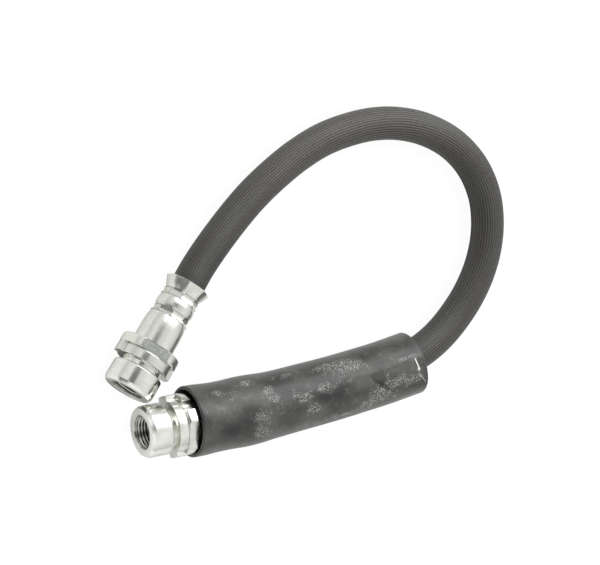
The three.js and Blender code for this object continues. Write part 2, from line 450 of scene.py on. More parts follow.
@dataclass(frozen=True)
class InsertSteel:
    """Plain drawn steel of the insert tubes."""

    name: str = "insert_steel"
    bright: Colour = (0.56, 0.56, 0.55)
    stained: Colour = (0.30, 0.29, 0.27)
    stain_scale: float = 500.0

    def dress(self) -> bpy.types.Material:
        """Builds the steel with its stains.

        Returns:
            The material.
        """
        sheet = NodeSheet(self.name)
        cloud = sheet.noise(sheet.object_place(), self.stain_scale, 4.0, 0.6)
        sheet.shade({
            "Metallic": 1.0,
            "Base Color": sheet.blend(sheet.spread(cloud, 0.4, 0.6, 0.0, 1.0), self.bright, self.stained),
            "Roughness": sheet.spread(cloud, 0.3, 0.7, 0.3, 0.5),
        })
        sheet.relief([(cloud, 0.2, 0.00003)])
        return sheet.material


@dataclass(frozen=True)
class HoseCover:
    """Extruded rubber cover with fine lengthwise ribs: crests greyed by painted highlight, valleys darkened
    by painted shade.
    """

    name: str = "hose_cover"
    valley: Colour = (0.014, 0.013, 0.012)
    crest: Colour = (0.134, 0.131, 0.125)
    brown: Colour = (0.108, 0.088, 0.077)
    lint: Colour = (0.30, 0.29, 0.27)
    sheen: float = 0.12
    sheen_rough: float = 0.4
    streaks: tuple[float, float] = (1300.0, 28.0)
    crest_light_scale: float = 1500.0
    lint_scale: float = 2600.0

    def dress(self) -> bpy.types.Material:
        """Builds the cover: painted shade in the valleys, grey to brown crests with a painted highlight, and
        dots of lint.

        Returns:
            The material.
        """
        sheet = NodeSheet(self.name)
        place = sheet.object_place()
        rib = sheet.mark("rib")
        streak = sheet.noise(sheet.surface_place(self.streaks), 1.0, 3.0, 0.6)
        crest_light = sheet.noise(place, self.crest_light_scale, 3.0, 0.7)
        tone = sheet.blend(sheet.spread(streak, 0.4, 0.62, 0.0, 0.55), self.crest, self.brown)
        # Painted highlight on the crests, varied by noise; the valleys keep their painted shade
        lit = sheet.maths("MULTIPLY", rib, sheet.spread(crest_light, 0.3, 0.6, 0.55, 1.0))
        cover = sheet.blend(lit, self.valley, tone)
        dots = sheet.spread(sheet.noise(place, self.lint_scale, 1.0), 0.70, 0.76, 0.0, 0.8)
        sheet.shade({
            "Base Color": sheet.blend(sheet.maths("MULTIPLY", dots, rib), cover, self.lint),
            "Roughness": sheet.spread(streak, 0.3, 0.7, 0.36, 0.52),
            "Sheen Weight": self.sheen,
            "Sheen Roughness": self.sheen_rough,
        })
        sheet.relief([(streak, 0.3, 0.00004), (crest_light, 0.3, 0.00003)])
        return sheet.material


@dataclass(frozen=True)
class SleeveSkin:
    """Soft moulded rubber with a satin skin, greyed and speckled where it is scuffed."""

    name: str = "sleeve_skin"
    deep: Colour = (0.036, 0.036, 0.035)
    grey: Colour = (0.088, 0.087, 0.085)
    dusty: Colour = (0.125, 0.122, 0.118)
    torn: Colour = (0.010, 0.010, 0.010)
    chalk: Colour = (0.44, 0.44, 0.43)
    cut: Colour = (0.90, 0.89, 0.87)
    sheen: float = 0.12
    sheen_rough: float = 0.4
    broad_scale: float = 75.0
    patch_scale: float = 380.0
    grain_scale: float = 1900.0
    fleck_scale: float = 2500.0
    tears: tuple[float, float] = (1300.0, 2000.0)
    ragged: float = 2.4

    def dress(self) -> bpy.types.Material:
        """Builds the skin: broad greys, then hazed, torn and chalky scuffs, dark gouges, painted shade and
        pale cuts.

        Returns:
            The material.
        """
        sheet = NodeSheet(self.name)
        place = sheet.object_place()
        broad = sheet.noise(place, self.broad_scale, 4.0, 0.62)
        patch = sheet.noise(place, self.patch_scale, 3.0, 0.65)
        grain = sheet.noise(place, self.grain_scale, 4.0, 0.7)
        fleck = sheet.noise(place, self.fleck_scale, 2.0, 0.6)
        tear = sheet.noise(sheet.surface_place(self.tears), 1.0, 2.0, 0.6)
        edge = sheet.maths("MULTIPLY_ADD", patch, self.ragged, sheet.mark("scuff"), clamp=False)
        scuff = sheet.spread(edge, 1.40, 2.0, 0.0, 1.0)
        skin = sheet.blend(sheet.spread(broad, 0.40, 0.60, 0.0, 1.0), self.deep, self.grey)
        hazed = sheet.blend(sheet.maths("MULTIPLY", scuff, 0.45), skin, self.dusty)
        pits = sheet.maths("MULTIPLY", sheet.spread(tear, 0.54, 0.59, 0.0, 1.0), scuff)
        pitted = sheet.blend(pits, hazed, self.torn)
        specks = sheet.maths("MULTIPLY", sheet.spread(fleck, 0.53, 0.58, 0.0, 0.9), scuff)
        flecked = sheet.blend(specks, pitted, self.chalk)
        # The gouge mark also carries the dark patches, most of them painted shade in the dents
        gouge = sheet.mark("gouge")
        gouged = sheet.blend(gouge, flecked, self.torn)
        sheet.shade({
            "Base Color": sheet.blend(sheet.mark("nick"), gouged, self.cut),
            "Roughness": sheet.spread(broad, 0.35, 0.65, 0.31, 0.45),
            "Specular IOR Level": sheet.spread(gouge, 0.0, 1.0, 0.5, 0.26),
            "Sheen Weight": self.sheen,
            "Sheen Roughness": self.sheen_rough,
        })
        sheet.relief([
            (broad, 0.5, 0.0008), (patch, 0.3, 0.00015), (grain, 0.3, 0.00003), (tear, 0.35, 0.00005),
        ])
        return sheet.material


# Pieces


@dataclass(frozen=True)
class FittingLay:
    """Where an end fitting lies, and how its milled features are turned.

    Angles about the axis are in degrees from straight up, towards the left as seen along the axis from
    the front.
    """

    letter: str
    front: tuple[float, float]
    heading: float
    keys: float
    flats: float
    notch: float
    held: float = 0.0
    wear: float = 1.0
    flange_radius: float = 9.5
    flat_reach: float = 8.3

    @property
    def half_flat(self) -> float:
        """Half of a flat's width as an angle: the arc cosine of its reach over the flange's radius."""
        return math.degrees(math.acos(self.flat_reach / self.flange_radius))

    @property
    def height(self) -> float:
        """Height of the axis: as the sleeve holds it, or lying on the flange.

        The flange lies on its round or on the edge of its lower flat.

        Returns:
            The height in millimetres.
        """
        if self.held:
            return self.held
        return self.flange_radius * math.cos(math.radians(max(0.0, self.half_flat - abs(self.flats))))

    def to_frame(self, local: Array) -> Array:
        """Turns points along the fitting's axis into the frame.

        Args:
            local: Points as station along the axis, distance to the left and distance up, in millimetres.

        Returns:
            The same points as x, y and z of the frame, in millimetres.
        """
        turn = math.radians(self.heading)
        c, s = math.cos(turn), math.sin(turn)
        x = self.front[0] + local[..., 0] * c - local[..., 1] * s
        y = self.front[1] + local[..., 0] * s + local[..., 1] * c
        return np.stack([x, y, self.height + local[..., 2]], axis=-1)


FITTING_A = FittingLay("a", (-41.2, 17.9), 24.0, 98.0, 13.0, -110.0)
FITTING_B = FittingLay("b", (-44.7, 5.0), -24.0, 98.0, -21.0, 43.0, held=11.0, wear=0.2)


@dataclass(frozen=True)
class Shell:
    """The crimped shell's outer line and wall."""

    web: float = 17.0
    radius: float = 6.5
    wall: float = 0.95
    dome: float = 21.2
    groove: float = 26.4
    groove_radius: float = 5.15
    second_groove: float = 32.6
    second_groove_radius: float = 5.3
    bulge_radius: float = 6.1
    mouth: float = 37.5
    mouth_radius: float = 7.05
    flare_power: float = 1.3
    jaws: int = 8
    # Each ring of flats: start and end
    flats: tuple[tuple[float, float], ...] = ((25.35, 27.45), (31.45, 33.65))
    fade: float = 0.15
    girth: float = 1.026
    flare_flats: tuple[float, float] = (33.8, 35.6)
    flare_share: float = 0.45
    # Painted shade lines round the ends of each ring of flats and along the corners between flats
    line_half_width: float = 0.14
    line_dark: float = 0.75
    # Half width in degrees of the line on each corner, and its gap to the ends of the flats
    corner_half_width: float = 1.6
    corner_gap: float = 0.05
    corner_dark: float = 0.45

    def outer(self, station: Array) -> Array:
        """Works out the shell's outer radius.

        It is straight, then a quarter ellipse down to the first groove, a sine bulge between the grooves,
        and a flare whose rise grows as a power of the distance.

        Args:
            station: Distances from the front face.

        Returns:
            The radius at each station.
        """
        down = np.clip((station - self.dome) / (self.groove - self.dome), 0.0, 1.0)
        domed = self.groove_radius + (self.radius - self.groove_radius) * np.sqrt(1.0 - down**2)
        across = np.clip((station - self.groove) / (self.second_groove - self.groove), 0.0, 1.0)
        base = self.groove_radius + (self.second_groove_radius - self.groove_radius) * across
        bulged = base + (self.bulge_radius - base) * np.sin(np.pi * across)
        out = np.clip((station - self.second_groove) / (self.mouth - self.second_groove), 0.0, 1.0)
        rise = self.mouth_radius - self.second_groove_radius
        flared = self.second_groove_radius + rise * out**self.flare_power
        behind = np.where(station <= self.second_groove, bulged, flared)
        return np.where(station <= self.groove, domed, behind)

    def from_side(self, angle: Array) -> Array:
        """Angle in degrees from the middle of the nearest flat."""
        side = 360.0 / self.jaws
        return (angle + side / 2) % side - side / 2

    def pressed(self, station: Array, angle: Array) -> Array:
        """Works out how the jaws of the crimping tool flatten the shell.

        In the grooves the section is a regular polygon, one over the cosine of the angle from each side's
        middle, divided by its mean so that it keeps its girth. It fades into the round at both ends, and the
        flare keeps a softer share of it.

        Args:
            station: Distances from the front face, one for each row.
            angle: Angles about the axis in degrees, one for each column.

        Returns:
            A factor on the radius for each row and column.
        """
        polygon = 1.0 / np.cos(np.radians(self.from_side(angle))) / self.girth - 1.0
        share = self.flare_share * smoothstep(station, *self.flare_flats)
        for start, end in self.flats:
            rise = smoothstep(station, start - self.fade, start + self.fade)
            share += rise * (1.0 - smoothstep(station, end - self.fade, end + self.fade))
        return 1.0 + np.clip(share, 0.0, 1.0)[:, None] * polygon[None, :]

    def crimp_lines(self, station: Array, angle: Array) -> Array:
        """Works out the painted shade round both ends of each ring of flats and along the corners between
        flats.

        Each line is e to the minus squared distance over its half width.

        Args:
            station: Distances from the front face, one for each row.
            angle: Angles about the axis in degrees, one for each column.

        Returns:
            How much painted shade each row and column has.
        """
        edges = [edge for ring in self.flats for edge in ring]
        ends = sum(np.exp(-(((station - edge) / self.line_half_width) ** 2)) for edge in edges)
        gap = self.corner_gap
        inside = sum((station > start + gap) & (station < end - gap) for start, end in self.flats)
        to_corner = 180.0 / self.jaws - np.abs(self.from_side(angle))
        corner = np.exp(-((to_corner / self.corner_half_width) ** 2))
        return self.line_dark * ends[:, None] + self.corner_dark * inside[:, None] * corner[None, :]


@dataclass(frozen=True)
class EndFitting:
    """A turned, milled and crimped end fitting with its threaded port."""

    lay: FittingLay
    shell: Shell = Shell()
    nose: float = 8.0
    nose_end: float = 7.2
    face: float = 7.4
    face_taper: float = 1.2
    neck: float = 6.2
    neck_end: float = 8.9
    ring: float = 8.4
    ring_end: float = 12.1
    flange: float = 9.5
    flange_end: float = 15.3
    chamfer: float = 0.35
    edge_round: float = 0.14
    key_half_width: float = 2.5
    notch_depth: float = 1.6
    # The notch's half width in degrees at its floor and at its top
    notch_half: tuple[float, float] = (9.4, 10.2)
    port: float = 4.55
    thread_depth: float = 0.5
    thread_end: tuple[float, float] = (8.6, 9.8)
    pitch: float = 1.0
    port_mouth: float = 5.4
    port_depth: float = 10.5
    seat_end: float = 11.9
    insert_hole: float = 2.2
    # Each row of the shell's rounded lip: how far in from its radius, and how far back from its mouth
    lip: tuple[tuple[float, float], ...] = ((0.08, 0.12), (0.2, 0.02), (0.5, 0.0), (0.78, 0.04), (0.9, 0.2))
    shell_rows: int = 106
    inner_rows: int = 34
    row_step: float = 0.1
    column_step: float = 2.5
    least_step: float = 0.45
    # How rubbed the plain turning, the ring, the shell and the milled flats are
    plain_rubbed: float = 0.06
    ring_rubbed: float = 0.22
    shell_rubbed: float = 0.1
    milled_rubbed: float = 0.94
    # How much painted shade the port has: at its mouth, and what a thread's root and the depth add
    mouth_dark: float = 0.05
    root_dark: float = 0.85
    depth_dark: float = 0.7
    depth_shade: tuple[float, float] = (0.9, 6.5)
    mouth_shade: tuple[float, float] = (0.08, 0.4)
    # Painted shade line along each flat's rear edge: its half width and how dark it is
    rim_half_width: float = 0.12
    rim_dark: float = 0.7

    def key_half(self, radius: float) -> float:
        """Half of a key's width as an angle: the arc sine of the half width over the radius."""
        return math.degrees(math.asin(self.key_half_width / radius))

    def columns(self) -> Array:
        """Chooses the angles of the columns: evenly, and at each edge of a flat, key or notch.

        Returns:
            Angles in degrees, rising from 0 to under 360.
        """
        lay = self.lay
        at_top, at_foot = self.key_half(self.flange), self.key_half(self.ring)
        floor, top = self.notch_half
        edges = np.array(
            [lay.flats + side + turn for turn in (0, 180) for side in (-lay.half_flat, lay.half_flat)]
            + [lay.keys + side + turn for turn in (0, 180) for side in (-at_foot, -at_top, at_top, at_foot)]
            + [lay.notch + side for side in (-top, -floor, floor, top)]
        ) % 360.0
        plain = np.arange(0.0, 360.0, self.column_step)
        near = np.abs(angle_between(plain[:, None], edges[None, :])).min(axis=1)
        return np.unique(np.concatenate([plain[near > self.least_step], edges]))

    def turned(self) -> tuple[Array, Array]:
        """Draws the turned outside, from the front face to the start of the shell.

        Returns:
            Rows of plain radius, radius on the keys, and station; and the zone of each row.
        """
        nose, flange, shell = self.nose, self.flange, self.shell.radius
        corners = np.array([
            [self.port_mouth + 0.6, self.port_mouth + 0.6, 0.0, 0],
            [self.face, self.face, 0.0, 0],
            [nose, nose, self.face_taper, 0],
            [nose, nose, self.nose_end - 0.5, 0],
            [nose - 0.5, nose - 0.5, self.nose_end, 0],
            [self.neck, self.neck, self.nose_end, 0],
            [self.neck, self.neck, self.neck_end, 0],
            [self.ring, flange, self.neck_end, 0],
            [self.ring, flange, self.ring_end - 0.3, 0],
            [self.ring - 0.25, flange - 0.2, self.ring_end, 0],
            [flange - self.chamfer, flange - 0.2, self.ring_end, 1],
            [flange, flange, self.ring_end + self.chamfer, 1],
            [flange, flange, self.flange_end - self.chamfer, 1],
            [flange - self.chamfer, flange - self.chamfer, self.flange_end, 1],
            [shell, shell, self.flange_end, 0],
            [shell, shell, self.flange_end + 0.5, 0],
        ])
        line = rounded(corners, self.edge_round)
        return line[:, :3], np.where(line[:, 3] > 0.5, Zone.FLANGE.value, Zone.ROUND.value)

    def profile(self) -> tuple[Array, Array]:
        """Draws the closed profile, up the outside from the front face and back down the inside.

        Returns:
            Rows of plain radius, radius on the keys, and station; and the zone of each row.
        """
        shell = self.shell
        front, front_zone = self.turned()
        station = np.linspace(self.flange_end + 0.7, shell.mouth - 0.25, self.shell_rows)
        lip = np.array([shell.mouth_radius, shell.mouth]) - np.array(self.lip)
        back = np.linspace(shell.mouth - 0.6, shell.web, self.inner_rows)
        crimped = np.vstack([
            np.column_stack([shell.outer(station), station]),
            lip,
            np.column_stack([shell.outer(back) - shell.wall, back]),
        ])
        web = np.array([
            [self.insert_hole, shell.web],
            [self.insert_hole, self.seat_end],
            [self.port - 0.3, self.port_depth + 0.2],
        ])
        port_station = np.arange(self.port_depth, -self.row_step / 10, -self.row_step)
        port = np.column_stack([np.full_like(port_station, self.port), port_station])
        rest = np.vstack([crimped, web, port])
        zone = np.concatenate([
            front_zone,
            np.full(len(crimped), Zone.SHELL.value),
            np.full(len(web), Zone.ROUND.value),
            np.full(len(port), Zone.PORT.value),
        ])
        return np.vstack([front, rest[:, [0, 0, 1]]]), zone

    def thread(self, station: Array, angle: Array) -> Array:
        """Works out the port's radius.

        The thread is a triangle wave of station plus turns, cut flat at its crests, and the countersunk mouth
        is a 45 degree cone that opens it.

        Args:
            station: Distances from the front face, one for each row.
            angle: Angles about the axis in degrees, one for each column.

        Returns:
            The radius for each row and column.
        """
        wave = (station[:, None] / self.pitch + angle[None, :] / 360.0) % 1.0
        tooth = np.clip(1.25 * (1.0 - np.abs(2.0 * wave - 1.0)) - 0.15, 0.0, 1.0)
        run_out = 1.0 - smoothstep(station, *self.thread_end)
        cut = self.port + self.thread_depth * tooth * run_out[:, None]
        cone = self.port_mouth - station[:, None]
        return np.maximum(cut, cone)

    def radii(self, rows: Array, zone: Array, angle: Array) -> Array:
        """Works out the radius of each point.

        It is the row's plain radius, or the key's where a key stands. On the flange it is held to a flat's
        reach over the cosine of the angle from the flat's middle, and to the notch's floor.

        Args:
            rows: The profile's rows.
            zone: The zone of each row.
            angle: Angles about the axis in degrees, one for each column.

        Returns:
            The radius for each row and column.
        """
        lay = self.lay
        plain, keyed, station = rows.T
        at_top, at_foot = self.key_half(self.flange), self.key_half(self.ring)
        key = np.clip((at_foot - from_nearer(angle, lay.keys)) / (at_foot - at_top), 0.0, 1.0)
        radius = plain[:, None] + (keyed - plain)[:, None] * key[None, :]

        from_flat = from_nearer(angle, lay.flats)
        reach = lay.flat_reach / np.cos(np.radians(from_flat))
        flat = np.where(from_flat <= lay.half_flat + 1e-6, reach, self.flange)
        floor, top = self.notch_half
        from_notch = np.abs(angle_between(angle, lay.notch))
        in_notch = np.clip((top - from_notch) / (top - floor), 0.0, 1.0)
        cap = np.minimum(flat, self.flange - self.notch_depth * in_notch)[None, :]
        radius = np.where((zone == Zone.FLANGE.value)[:, None], np.minimum(radius, cap), radius)
        crimped = radius * self.shell.pressed(station, angle)
        radius = np.where((zone == Zone.SHELL.value)[:, None], crimped, radius)
        return np.where((zone == Zone.PORT.value)[:, None], self.thread(station, angle), radius)

    def marks(self, rows: Array, zone: Array, angle: Array, radius: Array) -> dict[str, Array]:
        """Works out how worn each point is, and its painted shade and painted highlight.

        Painted shade darkens the port in the thread's roots and with the distance from its mouth. The
        flange's flats and the ring are rubbed, and a line of painted shade runs along each flat's rear edge.

        Args:
            rows: The profile's rows.
            zone: The zone of each row.
            angle: Angles about the axis in degrees, one for each column.
            radius: The radius of each point.

        Returns:
            For each point how rubbed it is, its painted shade, its painted highlight where freshly turned,
            and how satin it is, between 0 and 1.
        """
        lay = self.lay
        plain, _, station = rows.T
        everywhere = np.zeros_like(radius)
        in_ring = (station > self.neck_end - 0.05) & (station < self.ring_end + 0.2)
        ring = (in_ring & (plain > self.shell.radius))[:, None]
        on_flat = from_nearer(angle, lay.flats) < lay.half_flat
        milled = (zone == Zone.FLANGE.value)[:, None] & on_flat[None, :]
        outside = ((zone == Zone.SHELL.value) & (plain > self.shell.outer(station) - 0.3))[:, None]
        turned = np.where(ring, self.ring_rubbed, self.plain_rubbed)
        rubbed = lay.wear * (turned + self.milled_rubbed * milled + self.shell_rubbed * outside)

        # Front face and shell lip: freshly turned, and painted paler as a highlight
        front = (station < 0.3) & (plain > self.port + 0.4)
        faced_highlight = front | (station > self.shell.mouth - 0.15)

        # Painted shade in the port: deeper in the thread's roots and further from the mouth
        seat = (zone == Zone.ROUND.value) & (plain < self.port) & (station < self.shell.web)
        in_port = ((zone == Zone.PORT.value) | seat)[:, None]
        root = np.clip((radius - self.port) / self.thread_depth, 0.0, 1.0)
        deep = smoothstep(station, *self.depth_shade)[:, None]
        painted_shade = np.clip(self.mouth_dark + self.root_dark * root + self.depth_dark * deep, 0.0, 1.0)
        dark = np.where(in_port, painted_shade, 0.0)
        dark *= smoothstep(station, *self.mouth_shade)[:, None]
        # Painted shade lines of the crimp
        dark += outside * self.shell.crimp_lines(station, angle)
        # Painted shade line along each flat's rear edge
        rim = np.exp(-(((station - self.flange_end + 0.1) / self.rim_half_width) ** 2))[:, None]
        dark += self.rim_dark * milled * rim
        return {
            "rubbed": np.clip(rubbed, 0.0, 1.0),
            "bore": np.clip(dark, 0.0, 1.0),
            "faced_highlight": faced_highlight[:, None] + everywhere,
            "satin": outside + everywhere,
        }

    def surface(self) -> tuple[Surface, dict[str, Array]]:
        """Works out the whole surface: each point is its radius round the axis, at its row's station.

        Returns:
            The surface in the frame, and its marks.
        """
        rows, zone = self.profile()
        angle = self.columns()
        radius = self.radii(rows, zone, angle)
        station = rows[:, 2]
        turn = np.radians(angle)
        along = np.broadcast_to(station[:, None], radius.shape)
        local = np.stack([along, radius * np.sin(turn), radius * np.cos(turn)], axis=-1)
        surface = Surface(self.lay.to_frame(local), turn * self.nose, station)
        return surface, self.marks(rows, zone, angle, radius)

    def build(self, material: bpy.types.Material) -> bpy.types.Object:
        """Makes the piece that stands for the CAD fitting.

        Args:
            material: Its finish.

        Returns:
            The fitting.
        """
        surface, marks = self.surface()
        piece = surface.build(f"fitting_{self.lay.letter}", 32.0, marks)
        piece.data.materials.append(material)
        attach(piece, "root")
        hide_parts(f"end_fitting_{self.lay.letter}")
        return piece


@dataclass(frozen=True)
class Hose:
    """The ribbed rubber hose between the two fittings: its route is the CAD model's, point for point."""

    radius: float = 5.25
    bore: float = 1.6
    start: float = 18.4
    mouth: float = 37.5
    clearance: float = 0.1
    # The wider bore round each insert tube, and how far in from the end it reaches
    insert_bore: float = 1.96
    insert_reach: float = 17.5
    ribs: int = 40
    rib_depth: float = 0.12
    shell: Shell = Shell()
    rows: int = 380
    bore_rows: int = 60
    columns_per_rib: int = 5
    # How strong the crests' painted highlight is: at the start, added before the bend, and added on the
    # bend's first half
    start_crest_light: float = 0.33
    run_crest_light: float = 0.26
    run_rise: tuple[float, float] = (28.0, 42.0)
    bend_crest_light: float = 0.41
    bend_rise: tuple[float, float] = (40.0, 70.0)
    bend_fall: tuple[float, float] = (122.0, 150.0)
    free: tuple[tuple[float, float, float], ...] = (
        (-1.0, 35.45, 8.2), (6.9, 37.9, 7.1), (18.7, 41.0, 5.9), (28.8, 43.15, 5.37),
        (39.0, 44.45, 5.27), (48.2, 44.9, 5.27), (57.7, 44.3, 5.27), (66.9, 42.2, 5.27),
        (75.9, 38.8, 5.27), (83.9, 34.0, 5.27), (91.4, 27.0, 5.27), (97.2, 17.8, 5.27),
        (99.6, 7.8, 5.27), (98.6, -1.6, 5.27), (95.2, -9.25, 5.27), (90.25, -15.7, 5.27),
        (83.9, -21.1, 5.27), (75.95, -25.6, 5.27), (67.1, -28.7, 5.4), (59.6, -30.05, 5.9),
        (53.8, -30.25, 6.4), (49.4, -29.95, 6.75), (44.6, -29.2, 7.0), (34.0, -26.2, 7.2),
        (22.8, -22.3, 7.75), (11.1, -18.4, 8.5), (1.3, -15.2, 9.6),
    )

    def route(self) -> Array:
        """Gives the listed points of the route.

        Returns:
            The points, from inside fitting A to inside fitting B.
        """
        stations = np.array([self.start, (self.start + self.mouth) / 2, self.mouth])
        on_axis = np.column_stack([stations, np.zeros((3, 2))])
        first, last = FITTING_A.to_frame(on_axis), FITTING_B.to_frame(on_axis[::-1])
        return np.vstack([first, np.array(self.free), last])

    def centre_line(self, count: int) -> tuple[Array, Array]:
        """Samples the route evenly.

        Between two route points the line is a centripetal Catmull-Rom cubic, whose knots are spaced by the
        square root of the chord, and the first and last chords are continued straight past the ends.

        Args:
            count: Number of samples.

        Returns:
            The points, and the distance of each from the start.
        """
        p = self.route()
        p = np.vstack([2 * p[0] - p[1], p, 2 * p[-1] - p[-2]])
        t = np.linspace(0.0, len(p) - 3.0 - 1e-9, 6000)
        i = np.floor(t).astype(int)
        u = (t - i)[:, None]
        a, b, c, d = p[i], p[i + 1], p[i + 2], p[i + 3]
        ab, bc, cd = (np.sqrt(np.linalg.norm(y - x, axis=1))[:, None] for x, y in ((a, b), (b, c), (c, d)))
        leave = ((b - a) / ab - (c - a) / (ab + bc) + (c - b) / bc) * bc
        reach = ((c - b) / bc - (d - b) / (bc + cd) + (d - c) / cd) * bc
        line = b + leave * u + (3 * (c - b) - 2 * leave - reach) * u**2 + (2 * (b - c) + leave + reach) * u**3
        far = np.concatenate([[0.0], np.cumsum(np.linalg.norm(np.diff(line, axis=0), axis=1))])
        even = np.linspace(0.0, far[-1], count)
        return np.stack([np.interp(even, far, line[:, k]) for k in range(3)], axis=1), even

    def outer_radius(self, from_end: Array) -> Array:
        """Gives the radius under the crests: the free one, or what the crimped shell leaves.

        Args:
            from_end: Distance of each row from the hose's nearer end.

        Returns:
            The radius at each row.
        """
        station = self.start + from_end
        inside = self.shell.outer(np.minimum(station, self.mouth)) - self.shell.wall - self.clearance
        squeezed = np.minimum(self.radius, inside)
        return np.where(station < self.mouth, squeezed, self.radius)

    def crest_light(self, even: Array) -> Array:
        """Works out the crests' painted highlight: weakest next to fitting A, strongest on the first half of
        the bend.

        Args:
            even: Distance of each row from the start.

        Returns:
            The share of the crest's tone at each row.
        """
        before_bend = self.start_crest_light + self.run_crest_light * smoothstep(even, *self.run_rise)
        return before_bend + self.bend_crest_light * band(even, self.bend_rise, self.bend_fall)

    def surface(self) -> tuple[Surface, Array, float, Array]:
        """Works out the tube: rings across the centre line, in the plane of its left side and its upper side.

        The outer radius falls by the rib's depth times a raised cosine between the crests, and the profile
        turns back through the bore.

        Returns:
            The surface, each point's share of the crests' painted highlight, the length, and the centre line.
        """
        line, even = self.centre_line(self.rows)
        length = float(even[-1])
        back = np.linspace(self.rows - 1, 0, self.bore_rows).round().astype(int)
        order = np.concatenate([np.arange(self.rows), back])
        tangent = np.gradient(line, axis=0)
        tangent /= np.linalg.norm(tangent, axis=1)[:, None]
        left = np.cross([0.0, 0.0, 1.0], tangent)
        left /= np.linalg.norm(left, axis=1)[:, None]
        up = np.cross(tangent, left)

        count = self.ribs * self.columns_per_rib
        phase = np.arange(count) / self.columns_per_rib
        turn = np.arange(count) * TURN / count
        valley = 0.5 - 0.5 * np.cos(TURN * phase)
        from_end = np.minimum(even, length - even)
        held = self.mouth - self.start
        free = smoothstep(from_end, held - 2.0, held + 0.5)
        outer = self.outer_radius(from_end)[:, None] - self.rib_depth * free[:, None] * valley[None, :]
        inner = np.where(from_end[back] < self.insert_reach, self.insert_bore, self.bore)
        inner = inner[:, None] + np.zeros(count)[None, :]
        radius = np.vstack([outer, inner])
        cos, sin = np.cos(turn)[None, :, None], np.sin(turn)[None, :, None]
        ring = cos * up[order][:, None] + sin * left[order][:, None]
        points = line[order][:, None] + radius[..., None] * ring
        # Share of the painted highlight on the crests; the valleys get none
        crest = np.vstack([self.crest_light(even)[:, None] * (1.0 - valley)[None, :], np.zeros_like(inner)])
        return Surface(points, turn * self.radius, even[order]), crest, length, line

    def build(self, material: bpy.types.Material) -> bpy.types.Object:
        """Args:
            material: Its finish.

        Returns:
            The hose.
        """
        surface, crest, length, line = self.surface()
        piece = surface.build("ribbed_hose", 60.0, {"rib": crest})
        piece.data.materials.append(material)
        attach(piece, "root")
        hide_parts("hose")
        leaves = FITTING_A.to_frame(np.array([self.mouth, 0.0, 0.0])) * MM
        LOG.info("hose: %.1f mm long", length)
        return piece


@dataclass(frozen=True)
class Scratch:
    """A slanting line across the sleeve, which fades to both sides and at both ends."""

    # A point of it, as station and angle, and how far along the sleeve it goes back for each degree
    station: float
    angle: float
    slant: float
    # Distance from the line at which it starts to fade, and at which it is gone
    fade: tuple[float, float]
    # The angles over which it comes in, and over which it goes out
    rise: tuple[float, float]
    fall: tuple[float, float]

    def draw(self, station: Array, angle: Array, width: float | Array = 1.0) -> Array:
        """Works out how much of the scratch each point has.

        It is one minus a smooth step of the distance to the line over the width, times a band of angles.

        Args:
            station: Distances along the sleeve, as a column.
            angle: Angles from straight up in degrees, as a row.
            width: A factor on how wide it is.

        Returns:
            A share between 0 and 1 for each row and column.
        """
        away = np.abs(station - self.station - (self.angle - angle) * self.slant)
        return (1.0 - smoothstep(away / width, *self.fade)) * band(angle, self.rise, self.fall)


